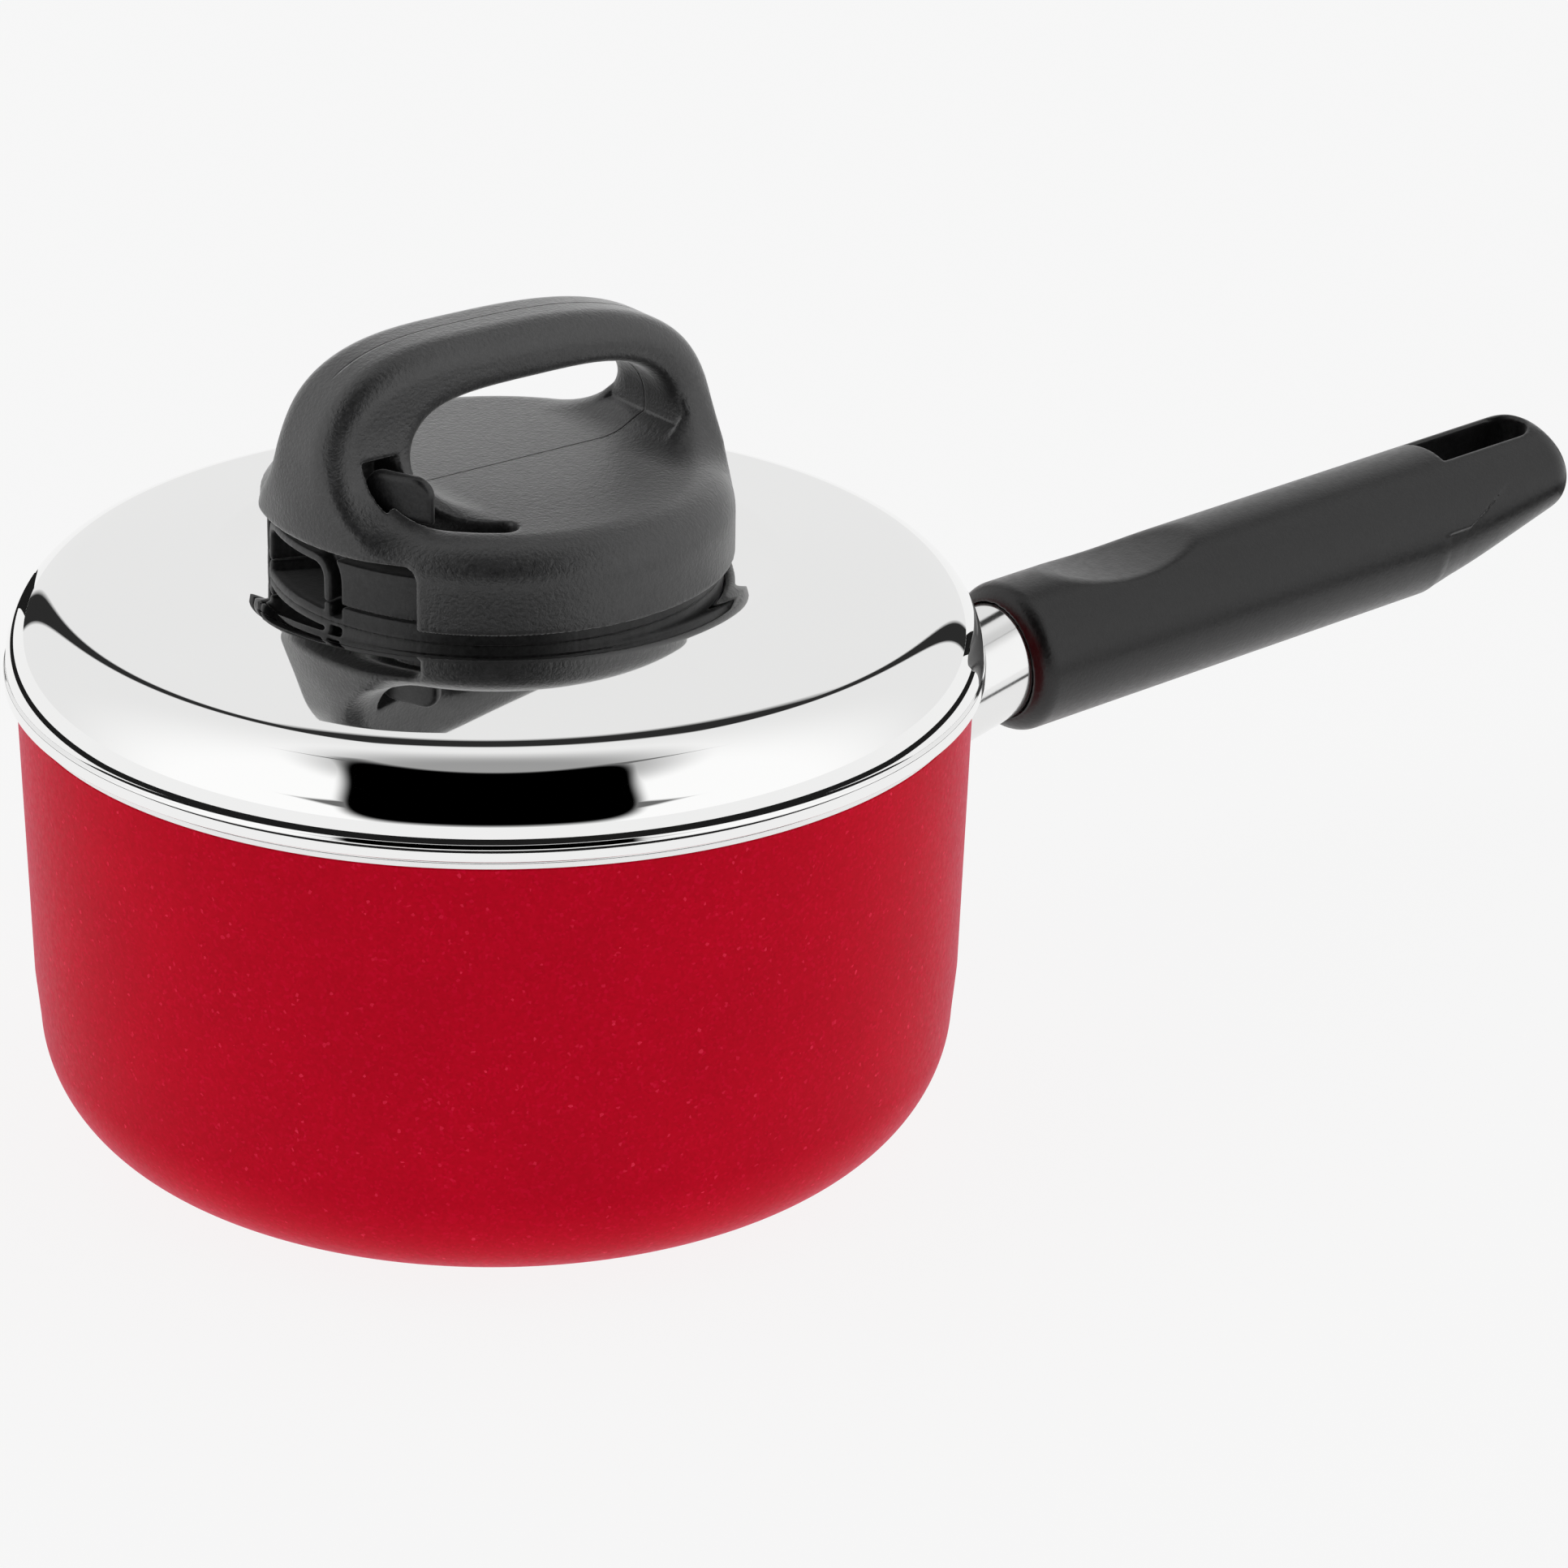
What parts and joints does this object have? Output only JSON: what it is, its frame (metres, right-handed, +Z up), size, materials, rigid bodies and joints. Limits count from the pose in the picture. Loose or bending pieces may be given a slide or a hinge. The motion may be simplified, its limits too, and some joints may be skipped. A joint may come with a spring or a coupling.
{
  "type": "saucepan",
  "caption": "Deep saucepan with a single long grip and a metal lid whose arch knob holds a steam outlet with a sliding shutter.",
  "frame": {"origin": "centre of the flat underside of the pan's base", "axes": "+Z up along the pan's axis, +X from the pan out along the grip, +Y to the left of the grip"},
  "size_m": [0.3375, 0.168, 0.1465],
  "materials": {
    "red_enamel": "satin enamel with fine metallic flake",
    "bright_trim": "polished",
    "base_steel": "brushed",
    "bracket_steel": "plain",
    "zinc_steel": "zinc plated",
    "grip_black": "satin",
    "lid_mirror": "mirror polished",
    "insert_brass": "turned",
    "seal_rubber": "matte",
    "housing_black": "fine grain",
    "cap_black": "fine grain",
    "slider_black": "satin",
    "gate_grey": "plain"
  },
  "bodies": {
    "pan": {"pan_shell": "red_enamel", "rim_trim": "bright_trim", "base_plate": "base_steel", "handle_bracket": "bracket_steel", "bracket_nut": "zinc_steel", "flame_guard": "bright_trim", "handle_grip": "grip_black", "tie_screw": "zinc_steel", "lock_washer": "zinc_steel"},
    "lid": {"lid_shell": "lid_mirror", "backing_plate": "bracket_steel", "knob_screws": "zinc_steel", "insert_nuts": "insert_brass", "vent_grommet": "seal_rubber", "knob_seal": "seal_rubber", "knob_base": "housing_black", "vent_housing": "housing_black", "knob_cap": "cap_black", "pivot_pin": "zinc_steel"},
    "slider": {"steam_slider": "slider_black", "steam_gate": "gate_grey", "friction_washer": "zinc_steel"}
  },
  "joints": [
    {"name": "lid_lift", "type": "slide", "parent": "pan", "child": "lid", "axis": [0, 0, 1], "range_m": [0, 0.06]},
    {"name": "slider_turn", "type": "hinge", "parent": "lid", "child": "slider", "pos_m": [0, 0, 0.115], "axis": [0, 0, 1], "range_deg": [0, 32]}
  ]
}
